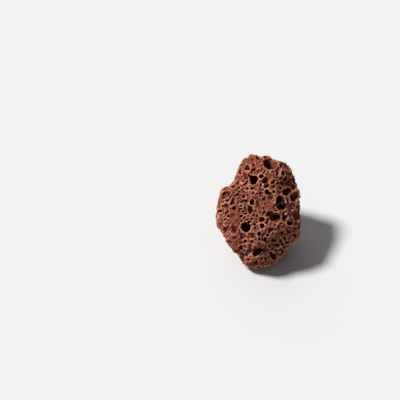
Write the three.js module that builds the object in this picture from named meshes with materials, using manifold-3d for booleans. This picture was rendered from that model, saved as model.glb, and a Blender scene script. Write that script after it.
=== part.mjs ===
// A lava cooking stone: one broken lump of red scoria, full of gas bubbles, lying on a small worn flat.
//
// Units are millimetres and +Z is up. The origin is in the plane of the resting flat, under the middle
// of the stone's box. The stone is laid out in the axes of its broad broken face: x runs across the face,
// y runs up it and z points out of it. That face looks up and forward, towards -Y.

import * as THREE from "three";
import { mergeVertices } from "three/addons/utils/BufferGeometryUtils.js";
import Module from "manifold-3d";

const DEGREE = Math.PI / 180;

// ---------------------------------------------------------------- the whole stone

const FACE_ELEVATION = 50; // degrees that the broad face's outward direction is above the horizontal
const MIDDLE = { x: -0.3, y: 0.4, z: 23 }; // where the middle of the face axes lies above the origin

// The rim as seen against the broad face: flats at [degrees round the rim, distance from the middle].
const RIM_FLATS = [
  [0, 24.6],
  [30, 27.8],
  [60, 33.4],
  [90, 33.2],
  [113, 32.6],
  [147, 23.2],
  [178, 23.5],
  [214, 23.4],
  [250, 31.8],
  [275, 32.6],
  [303, 30.0],
  [330, 25.8],
];
const FRONT_BULGE = 18; // how far the stone stands out of the rim's plane on the broad face's side
const BACK_BULGE = 23.5; // and behind it
const ROUNDNESS = 2.5; // 2 is an ellipse from front to back, and more is squarer

// Broken flats that plane the stone: [across, up, out] of the flat's outward direction, and its distance.
const BROKEN_FLATS = [
  [[-0.22, 0.14, 0.96], 15.2],
  [[0.49, -0.59, 0.64], 22.4],
  [[0.66, 0.22, 0.72], 21.0],
  [[-0.3, 0.62, 0.72], 22.4],
  [[-0.62, -0.5, 0.6], 21.8],
  [[-0.6, -0.1, -0.79], 20.6],
  [[0.35, 0.8, -0.48], 26.0],
  [[-0.45, 0.72, -0.53], 23.6],
  [[0.82, 0.2, -0.54], 21.6],
  [[0.45, -0.75, -0.48], 25.4],
  [[0.15, 0.4, -0.9], 22.6],
];
const EDGE_SHARPNESS = 20; // how tightly neighbouring flats meet

// Soft swells and dents of the skin: [across, up, out] of the place, height as a share of the distance
// from the middle, and width as a share of it.
const SWELLS = [
  [[0.5, 0.87, 0], 0.085, 0.13],
  [[-0.56, 0.83, 0], -0.12, 0.19],
  [[-0.3, 0.95, 0], 0.06, 0.2],
  [[0.33, -0.94, 0], 0.05, 0.24],
];
// Low waves all over the skin: [across, up, out] of the wave's direction and count, start, and height.
const WAVES = [
  [[5.1, 2.3, -1.7], 0.4, 0.012],
  [[-2.9, 4.7, 3.1], 2.1, 0.012],
  [[1.7, -6.3, 5.2], 4.0, 0.01],
  [[9.9, 3.8, 6.4], 1.2, 0.009],
  [[-6.1, 9.2, -4.4], 5.3, 0.009],
  [[4.3, 7.7, 10.6], 3.1, 0.008],
];
const SKIN_DETAIL = 6; // splits of each edge of the icosahedron that becomes the skin
const SLOPE_STEP = 0.05; // step over which the skin's slope is measured
const HALVINGS = 40; // how often the search for a point of the face halves its range
const SAME_POINT = 1e-4; // corners of a mesh that are this near are one corner
const GROUND = { width: 200, depth: 100 }; // the block whose top planes off the resting flat

// ---------------------------------------------------------------- the bubbles

// Broken bubbles that show on the broad face: [across, up, half width, half height, lean in degrees,
// sink]. Sink is how far the middle of the bubble lies under the skin, as a share of its size: a deep
// dark hole has more, and an open dish has less than nothing.
const FACE_BUBBLES = [
  [6.1, 27.3, 3.5, 3.2, 0, 0.45],
  [10.6, 22.9, 1.6, 2.4, 0, 0.0],
  [13.4, 21.3, 1.2, 1.4, 0, 0.4],
  [1.2, 20.2, 1.15, 1.2, 0, 0.5],
  [3.9, 17.9, 2.3, 2.4, 0, -0.1],
  [4.9, 14.5, 2.1, 1.2, 50, 0.4],
  [8.5, 17.0, 1.3, 1.5, 0, 0.0],
  [16.0, 15.6, 1.9, 1.5, 0, 0.1],
  [16.2, 11.3, 2.7, 2.2, 20, 0.2],
  [5.0, 10.6, 1.25, 1.25, 0, 0.6],
  [6.6, 8.2, 1.5, 2.4, -20, 0.0],
  [20.3, 8.6, 2.4, 2.7, 0, 0.3],
  [12.7, 5.0, 3.1, 4.3, 0, 0.2],
  [17.7, 1.4, 1.8, 4.3, 12, 0.1],
  [21.5, -1.8, 1.9, 3.1, 8, 0.2],
  [6.6, -1.0, 1.9, 2.1, 0, 0.2],
  [9.7, -3.5, 2.7, 2.5, 0, 0.35],
  [2.6, -3.7, 1.7, 1.6, 0, 0.3],
  [15.0, -3.5, 1.25, 1.4, 0, 0.6],
  [17.4, -6.0, 1.7, 1.6, 0, 0.3],
  [1.7, -7.8, 1.4, 1.65, 0, 0.5],
  [7.4, -9.6, 2.1, 1.5, 0, 0.0],
  [0.3, -12.4, 1.15, 1.35, 0, 0.6],
  [4.6, -15.7, 1.1, 1.25, 0, 0.6],
  [12.9, -12.1, 1.6, 1.2, 20, 0.1],
  [-6.8, -8.7, 2.3, 2.4, 0, 0.7],
  [-3.8, 5.9, 1.3, 1.65, -30, 0.5],
  [-14.2, 5.2, 2.4, 1.1, 50, 0.3],
  [-17.8, 2.7, 1.9, 1.8, 0, -0.1],
  [-4.7, 1.7, 1.9, 2.1, 0, -0.05],
  [-0.6, 4.9, 1.5, 2.7, -15, -0.05],
  [-21.3, -7.8, 1.2, 1.9, 0, 0.0],
  [-13.3, -10.1, 2.1, 2.6, -20, 0.0],
  [-17.2, -9.7, 1.1, 1.7, 0, 0.0],
  [-9.0, -13.7, 1.9, 2.1, 0, -0.05],
  [-4.3, -13.3, 1.9, 1.8, 0, -0.05],
  [-18.1, 9.5, 2.6, 1.8, 45, 0.25],
  [-2.5, 18.4, 2.2, 2.25, 0, 0.72],
  [-5.2, 24.5, 1.5, 1.3, -30, 0.5],
  [-7.4, 20.2, 0.9, 1.9, -8, 0.5],
  [-9.5, 22.9, 1.1, 2.1, -10, 0.4],
  [-0.9, -22.5, 4.3, 1.6, 28, 0.7],
  [-9.9, -19.7, 1.2, 1.1, 0, 0.6],
  [-12.0, -21.8, 1.6, 1.3, 0, 0.0],
  [8.7, -25.1, 1.9, 1.9, 0, 0.1],
  [10.2, -21.4, 1.2, 1.0, 30, 0.4],
  [12.8, -20.4, 1.4, 1.0, 20, 0.4],
  [10.5, -18.2, 1.4, 1.0, 20, 0.2],
  [12.3, 18.4, 1.0, 1.0, 0, 0.3],
  [21.3, -5.8, 1.3, 0.9, 0, 0.4],
  [-7.4, 6.2, 1.2, 1.2, 0, 0.0],
  [-7.5, -17.4, 1.1, 1.1, 0, 0.4],
  [0.8, -18.0, 1.2, 1.1, 0, 0.4],
  [-3.5, 13.5, 1.0, 1.1, 0, 0.5],
  [-14.7, 14.3, 1.1, 1.0, 0, 0.3],
  [0.1, 22.9, 1.3, 1.1, 0, 0.0],
];

const DEPTH_SHARE = 1.1; // a bubble's depth, as a share of the lesser of its width and height
const LEAST_FACING = 0.4; // a mouth is slid into the skin as if that faced the front at least this much

// The rest are scattered over the skin, big ones first: [smallest radius, largest radius, tries].
const SCATTER = [
  [2.9, 3.8, 60],
  [2.1, 2.7, 150],
  [1.7, 2.0, 60],
];
const SCATTER_SEED = 4127;
const TURN_SEED = 905; // each ball is turned any way, so that its flat sides do not line up with others
const WALL = 0.96; // centres keep this share of the two radii apart, so some bubbles just break together
const LEAST_SINK = -0.3;
const MOST_SINK = 0.55;
const STRETCH = 0.45; // a scattered bubble is up to this share longer along the lava's flow
const FLOW = new THREE.Vector3(0.68, 0.66, 0.32).normalize();
const BARE_FACE = { out: 2, rim: 0.96 }; // no scattered bubble where the broad face has its own
const PAD = { x: 0, y: -5, radius: 4 }; // a place on the resting flat with no bubble in it

// The balls that bubbles are cut with, by size. Grow makes each hold as much as a true ball.
const SMALL_BALL = { below: 1.55, grow: 1.16 }; // twenty triangles
const MIDDLE_BALL = { below: 3.3, grow: 1.13 }; // twelve pentagons
const LARGE_BALL = { grow: 1.04 }; // eighty triangles

// ---------------------------------------------------------------- the skin

// The p-norm of the positive terms: it follows the largest one and rounds where two are alike.
function soften(terms, power) {
  const sum = terms.reduce((total, term) => total + Math.max(0, term) ** power, 0);
  return sum ** (1 / power);
}

// How far out a point is, as a share of the way from the middle to the skin, before swells and waves.
function bareGauge(x, y, z) {
  const rim = soften(
    RIM_FLATS.map(([angle, far]) => (x * Math.cos(angle * DEGREE) + y * Math.sin(angle * DEGREE)) / far),
    EDGE_SHARPNESS,
  );
  const bulge = Math.abs(z) / (z > 0 ? FRONT_BULGE : BACK_BULGE);
  const body = soften([rim, bulge], ROUNDNESS);
  const flats = BROKEN_FLATS.map(([[nx, ny, nz], far]) => (nx * x + ny * y + nz * z) / far);
  return soften([body, ...flats], EDGE_SHARPNESS);
}

// The share that swells and waves add to the distance of the skin in a direction.
function relief(x, y, z) {
  const swells = SWELLS.map(([[sx, sy, sz], height, width]) => {
    const apart = (x - sx) ** 2 + (y - sy) ** 2 + (z - sz) ** 2;
    return height * Math.exp(-apart / (2 * width ** 2));
  });
  const waves = WAVES.map(([[kx, ky, kz], start, height]) => {
    return height * Math.sin(kx * x + ky * y + kz * z + start);
  });
  return [...swells, ...waves].reduce((total, term) => total + term, 0);
}

// 0 at the middle of the stone, 1 on its skin.
function gauge(x, y, z) {
  const length = Math.hypot(x, y, z);
  return bareGauge(x, y, z) / (1 + relief(x / length, y / length, z / length));
}

// The skin's outward direction at a point near it, from small steps of the gauge.
function outward(point) {
  const { x, y, z } = point;
  const step = SLOPE_STEP;
  return new THREE.Vector3(
    gauge(x + step, y, z) - gauge(x - step, y, z),
    gauge(x, y + step, z) - gauge(x, y - step, z),
    gauge(x, y, z + step) - gauge(x, y, z - step),
  ).normalize();
}

// The point of the skin that lies straight out of (x, y) on the broad face's side, found by halving.
function onFace(x, y) {
  let low = 0;
  let high = 2 * FRONT_BULGE;
  for (let i = 0; i < HALVINGS; i++) {
    const half = (low + high) / 2;
    if (gauge(x, y, half) > 1) high = half;
    else low = half;
  }
  const point = new THREE.Vector3(x, y, low);
  return point.divideScalar(gauge(point.x, point.y, point.z));
}

// ---------------------------------------------------------------- solids

const wasm = await Module();
wasm.setup();

function solid(geometry) {
  const bare = geometry.clone();
  bare.deleteAttribute("normal");
  bare.deleteAttribute("uv");
  const merged = mergeVertices(bare, SAME_POINT);
  return new wasm.Manifold(
    new wasm.Mesh({
      numProp: 3,
      vertProperties: merged.getAttribute("position").array,
      triVerts: new Uint32Array(merged.index.array),
    }),
  );
}

function geometryOf(made) {
  const mesh = made.getMesh();
  const geometry = new THREE.BufferGeometry();
  geometry.setAttribute("position", new THREE.BufferAttribute(mesh.vertProperties, 3));
  geometry.setIndex(new THREE.BufferAttribute(mesh.triVerts, 1));
  geometry.computeVertexNormals();
  return geometry;
}

// Turns face axes into the stone's own frame.
const fromFace = new THREE.Matrix4().makeBasis(
  new THREE.Vector3(1, 0, 0),
  new THREE.Vector3(0, Math.sin(FACE_ELEVATION * DEGREE), Math.cos(FACE_ELEVATION * DEGREE)),
  new THREE.Vector3(0, -Math.cos(FACE_ELEVATION * DEGREE), Math.sin(FACE_ELEVATION * DEGREE)),
);
fromFace.setPosition(MIDDLE.x, MIDDLE.y, MIDDLE.z);

function skin() {
  const geometry = new THREE.IcosahedronGeometry(1, SKIN_DETAIL);
  const places = geometry.getAttribute("position");
  const point = new THREE.Vector3();
  for (let i = 0; i < places.count; i++) {
    point.fromBufferAttribute(places, i);
    point.divideScalar(gauge(point.x, point.y, point.z));
    places.setXYZ(i, point.x, point.y, point.z);
  }
  return geometry.applyMatrix4(fromFace);
}

// A ball with as many faces as its size needs, as big inside as a true ball of radius 1.
function ball(radius) {
  if (radius < SMALL_BALL.below) return new THREE.IcosahedronGeometry(SMALL_BALL.grow, 0);
  if (radius < MIDDLE_BALL.below) return new THREE.DodecahedronGeometry(MIDDLE_BALL.grow, 0);
  return new THREE.IcosahedronGeometry(LARGE_BALL.grow, 1);
}

// One bubble, an ellipsoid with three half axes, in the stone's frame.
function bubble({ centre, halfAxes, radius }) {
  const place = new THREE.Matrix4().makeBasis(...halfAxes).setPosition(centre);
  return ball(radius).applyQuaternion(anyTurn()).applyMatrix4(place).applyMatrix4(fromFace);
}

// ---------------------------------------------------------------- where the bubbles are

// Repeatable random numbers between two ends: each step's whole number is the last one times 48271,
// modulo 2^31 - 1.
function chances(seed) {
  let whole = seed;
  return (low, high) => {
    whole = (whole * 48271) % 2147483647;
    return low + ((high - low) * whole) / 2147483647;
  };
}

const turning = chances(TURN_SEED);
function anyTurn() {
  const axis = new THREE.Vector3(turning(-1, 1), turning(-1, 1), turning(-1, 1)).normalize();
  return new THREE.Quaternion().setFromAxisAngle(axis, turning(0, Math.PI));
}

// A direction of the face's own plane, slid along the face's outward direction until it lies in the
// skin, whose outward direction is out.
function slid(x, y, out) {
  return new THREE.Vector3(x, y, -(x * out.x + y * out.y) / Math.max(out.z, LEAST_FACING));
}

function faceBubbles() {
  return FACE_BUBBLES.map(([x, y, halfWidth, halfHeight, lean, sink]) => {
    const mouth = onFace(x, y);
    const out = outward(mouth);
    const swell = 1 / Math.sqrt(1 - sink ** 2); // cut off its middle, a bubble is wider than its mouth
    const turn = lean * DEGREE;
    const wide = slid(Math.cos(turn), Math.sin(turn), out).multiplyScalar(swell * halfWidth);
    const high = slid(-Math.sin(turn), Math.cos(turn), out).multiplyScalar(swell * halfHeight);
    const deep = out.clone().multiplyScalar(swell * DEPTH_SHARE * Math.min(halfWidth, halfHeight));
    const centre = mouth.clone().addScaledVector(deep, -sink);
    return { centre, halfAxes: [wide, high, deep], radius: (swell * (halfWidth + halfHeight)) / 2 };
  });
}

// Adds scattered bubbles to those already found.
function scatter(found) {
  const between = chances(SCATTER_SEED);
  const side = new THREE.Vector3(0, 0, 1).cross(FLOW).normalize();
  const across = FLOW.clone().cross(side);
  const pad = new THREE.Vector3(PAD.x, PAD.y, 0).applyMatrix4(fromFace.clone().invert());
  for (const [smallest, largest, tries] of SCATTER) {
    for (let i = 0; i < tries; i++) {
      const z = between(-1, 1);
      const angle = between(0, 2 * Math.PI);
      const radius = between(smallest, largest);
      const sink = between(LEAST_SINK, MOST_SINK);
      const stretch = 1 + between(0, STRETCH);
      const ring = Math.sqrt(1 - z * z);
      const mouth = new THREE.Vector3(ring * Math.cos(angle), ring * Math.sin(angle), z);
      mouth.divideScalar(gauge(mouth.x, mouth.y, mouth.z));
      const centre = mouth.clone().addScaledVector(outward(mouth), -sink * radius);
      const onBroadFace = mouth.z > BARE_FACE.out && gauge(mouth.x, mouth.y, 0) < BARE_FACE.rim;
      const onPad = centre.distanceTo(pad) < radius * stretch + PAD.radius;
      const crowded = found.some((other) => {
        return centre.distanceTo(other.centre) < WALL * (radius + other.radius);
      });
      if (onBroadFace || onPad || crowded) continue;
      const thin = radius / Math.sqrt(stretch);
      const halfAxes = [
        FLOW.clone().multiplyScalar(radius * stretch),
        side.clone().multiplyScalar(thin),
        across.clone().multiplyScalar(thin),
      ];
      found.push({ centre, halfAxes, radius });
    }
  }
  return found;
}

// ---------------------------------------------------------------- the part

function lavaStone() {
  const ground = new THREE.BoxGeometry(GROUND.width, GROUND.width, GROUND.depth);
  ground.translate(0, 0, -GROUND.depth / 2);
  let made = solid(skin()).subtract(solid(ground));
  for (const one of scatter(faceBubbles())) made = made.subtract(solid(bubble(one)));
  return geometryOf(made);
}

const scoria = new THREE.MeshStandardMaterial({ color: 0x8a4d3c, roughness: 0.92, metalness: 0 });

const stone = new THREE.Mesh(lavaStone(), scoria);
stone.name = "lava_stone";

const part = new THREE.Group();
part.add(stone);

export default part;
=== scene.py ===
"""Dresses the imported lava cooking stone: its fine broken surface, its finish and its studio stage.

The stone is worked out as a solid field on a grid of points: how far each point is inside the skin,
less every gas bubble that the skin is broken by. The field's zero surface is the stone's mesh.
Sizes here are in millimetres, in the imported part's frame, until a mesh is made in metres.
"""

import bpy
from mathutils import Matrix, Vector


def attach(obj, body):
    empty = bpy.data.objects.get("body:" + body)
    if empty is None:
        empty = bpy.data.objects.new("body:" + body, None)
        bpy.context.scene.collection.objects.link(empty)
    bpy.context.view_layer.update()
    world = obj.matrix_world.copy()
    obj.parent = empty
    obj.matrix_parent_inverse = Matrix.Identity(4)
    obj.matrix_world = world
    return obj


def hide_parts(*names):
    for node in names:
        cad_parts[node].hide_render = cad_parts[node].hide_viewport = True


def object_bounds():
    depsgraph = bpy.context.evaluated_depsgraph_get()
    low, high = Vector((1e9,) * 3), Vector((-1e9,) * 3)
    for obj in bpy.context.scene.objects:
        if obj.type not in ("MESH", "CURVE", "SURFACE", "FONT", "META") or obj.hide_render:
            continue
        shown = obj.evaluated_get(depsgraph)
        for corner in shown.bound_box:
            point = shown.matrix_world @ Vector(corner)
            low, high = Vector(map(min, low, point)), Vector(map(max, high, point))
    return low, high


bl_info = {
    "name": "Lava cooking stone",
    "version": (1, 0, 0),
    "blender": (4, 5, 0),
    "location": "3D View > Sidebar > Lava stone",
    "description": "Makes a lump of red scoria with its broken bubbles, and a pale studio stage",
    "category": "Object",
}

import math
from collections import namedtuple
from itertools import product

import bpy
import numpy as np
from mathutils import Vector

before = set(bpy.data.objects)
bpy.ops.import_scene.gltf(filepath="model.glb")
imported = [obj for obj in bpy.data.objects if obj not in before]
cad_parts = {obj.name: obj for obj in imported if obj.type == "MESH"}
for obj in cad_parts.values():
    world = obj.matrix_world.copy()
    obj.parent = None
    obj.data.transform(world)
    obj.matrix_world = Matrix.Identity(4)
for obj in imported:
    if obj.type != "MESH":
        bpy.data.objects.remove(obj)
SOLID_BOX = [list(corner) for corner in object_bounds()]
NODE = "lava_stone"
MM = 0.001

# ---------------------------------------------------------------- the stone, as the solid has it

FACE_ELEVATION = 50.0  # degrees that the broad face's outward direction is above the horizontal
MIDDLE = (-0.3, 0.4, 23.0)  # where the middle of the face axes lies above the origin

# The rim as seen against the broad face: flats at (degrees round the rim, distance from the middle).
RIM_FLATS = (
    (0, 24.6),
    (30, 27.8),
    (60, 33.4),
    (90, 33.2),
    (113, 32.6),
    (147, 23.2),
    (178, 23.5),
    (214, 23.4),
    (250, 31.8),
    (275, 32.6),
    (303, 30.0),
    (330, 25.8),
)
FRONT_BULGE = 18.0  # how far the broad face bulges out from the middle
BACK_BULGE = 23.5  # and how far the back does
ROUNDNESS = 2.5  # power that joins the rim and the bulges: 2 is an ellipse, and more is boxier

# Broken flats that plane the stone: (across, up, out) of the outward direction, and the distance.
BROKEN_FLATS = (
    ((-0.22, 0.14, 0.96), 15.2),
    ((0.49, -0.59, 0.64), 22.4),
    ((0.66, 0.22, 0.72), 21.0),
    ((-0.3, 0.62, 0.72), 22.4),
    ((-0.62, -0.5, 0.6), 21.8),
    ((-0.6, -0.1, -0.79), 20.6),
    ((0.35, 0.8, -0.48), 26.0),
    ((-0.45, 0.72, -0.53), 23.6),
    ((0.82, 0.2, -0.54), 21.6),
    ((0.45, -0.75, -0.48), 25.4),
    ((0.15, 0.4, -0.9), 22.6),
)
EDGE_SHARPNESS = 20  # power that joins the flats: more is sharper

# Soft swells and dents: (across, up, out) of the direction, height as a share, and width.
SWELLS = (
    ((0.5, 0.87, 0), 0.085, 0.13),
    ((-0.56, 0.83, 0), -0.12, 0.19),
    ((-0.3, 0.95, 0), 0.06, 0.2),
    ((0.33, -0.94, 0), 0.05, 0.24),
)
# Low waves all over the skin: (across, up, out) of the direction and count, start, height as a share.
WAVES = (
    ((5.1, 2.3, -1.7), 0.4, 0.012),
    ((-2.9, 4.7, 3.1), 2.1, 0.012),
    ((1.7, -6.3, 5.2), 4.0, 0.01),
    ((9.9, 3.8, 6.4), 1.2, 0.009),
    ((-6.1, 9.2, -4.4), 5.3, 0.009),
    ((4.3, 7.7, 10.6), 3.1, 0.008),
)
FLOW = (0.68, 0.66, 0.32)  # the way that the lava's flow drew its bubbles out, in face axes

# ---------------------------------------------------------------- bubbles of the broad face

# (across, up, half width, half height, lean in degrees, sink as a share of the size)
LARGE_FACE_BUBBLES = (
    (6.1, 27.3, 3.5, 3.2, 0, 0.45),
    (10.6, 22.9, 1.6, 2.4, 0, 0.0),
    (13.4, 21.3, 1.2, 1.4, 0, 0.4),
    (1.2, 20.2, 1.15, 1.2, 0, 0.5),
    (3.9, 17.9, 2.3, 2.4, 0, -0.1),
    (4.9, 14.5, 2.1, 1.2, 50, 0.4),
    (8.5, 17.0, 1.3, 1.5, 0, 0.0),
    (16.0, 15.6, 1.9, 1.5, 0, 0.1),
    (16.2, 11.3, 2.7, 2.2, 20, 0.2),
    (5.0, 10.6, 1.25, 1.25, 0, 0.6),
    (6.6, 8.2, 1.5, 2.4, -20, 0.0),
    (20.3, 8.6, 2.4, 2.7, 0, 0.3),
    (12.7, 5.0, 3.1, 4.3, 0, 0.2),
    (17.7, 1.4, 1.8, 4.3, 12, 0.1),
    (21.5, -1.8, 1.9, 3.1, 8, 0.2),
    (6.6, -1.0, 1.9, 2.1, 0, 0.2),
    (9.7, -3.5, 2.7, 2.5, 0, 0.35),
    (2.6, -3.7, 1.7, 1.6, 0, 0.3),
    (15.0, -3.5, 1.25, 1.4, 0, 0.6),
    (17.4, -6.0, 1.7, 1.6, 0, 0.3),
    (1.7, -7.8, 1.4, 1.65, 0, 0.5),
    (7.4, -9.6, 2.1, 1.5, 0, 0.0),
    (0.3, -12.4, 1.15, 1.35, 0, 0.6),
    (4.6, -15.7, 1.1, 1.25, 0, 0.6),
    (12.9, -12.1, 1.6, 1.2, 20, 0.1),
    (-6.8, -8.7, 2.3, 2.4, 0, 0.7),
    (-3.8, 5.9, 1.3, 1.65, -30, 0.5),
    (-14.2, 5.2, 2.4, 1.1, 50, 0.3),
    (-17.8, 2.7, 1.9, 1.8, 0, -0.1),
    (-4.7, 1.7, 1.9, 2.1, 0, -0.05),
    (-0.6, 4.9, 1.5, 2.7, -15, -0.05),
    (-21.3, -7.8, 1.2, 1.9, 0, 0.0),
    (-13.3, -10.1, 2.1, 2.6, -20, 0.0),
    (-17.2, -9.7, 1.1, 1.7, 0, 0.0),
    (-9.0, -13.7, 1.9, 2.1, 0, -0.05),
    (-4.3, -13.3, 1.9, 1.8, 0, -0.05),
    (-18.1, 9.5, 2.6, 1.8, 45, 0.25),
    (-2.5, 18.4, 2.2, 2.25, 0, 0.72),
    (-5.2, 24.5, 1.5, 1.3, -30, 0.5),
    (-7.4, 20.2, 0.9, 1.9, -8, 0.5),
    (-9.5, 22.9, 1.1, 2.1, -10, 0.4),
    (-0.9, -22.5, 4.3, 1.6, 28, 0.7),
    (-9.9, -19.7, 1.2, 1.1, 0, 0.6),
    (-12.0, -21.8, 1.6, 1.3, 0, 0.0),
    (8.7, -25.1, 1.9, 1.9, 0, 0.1),
    (10.2, -21.4, 1.2, 1.0, 30, 0.4),
    (12.8, -20.4, 1.4, 1.0, 20, 0.4),
    (10.5, -18.2, 1.4, 1.0, 20, 0.2),
    (12.3, 18.4, 1.0, 1.0, 0, 0.3),
    (21.3, -5.8, 1.3, 0.9, 0, 0.4),
    (-7.4, 6.2, 1.2, 1.2, 0, 0.0),
    (-7.5, -17.4, 1.1, 1.1, 0, 0.4),
    (0.8, -18.0, 1.2, 1.1, 0, 0.4),
    (-3.5, 13.5, 1.0, 1.1, 0, 0.5),
    (-14.7, 14.3, 1.1, 1.0, 0, 0.3),
    (0.1, 22.9, 1.3, 1.1, 0, 0.0),
)
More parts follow.
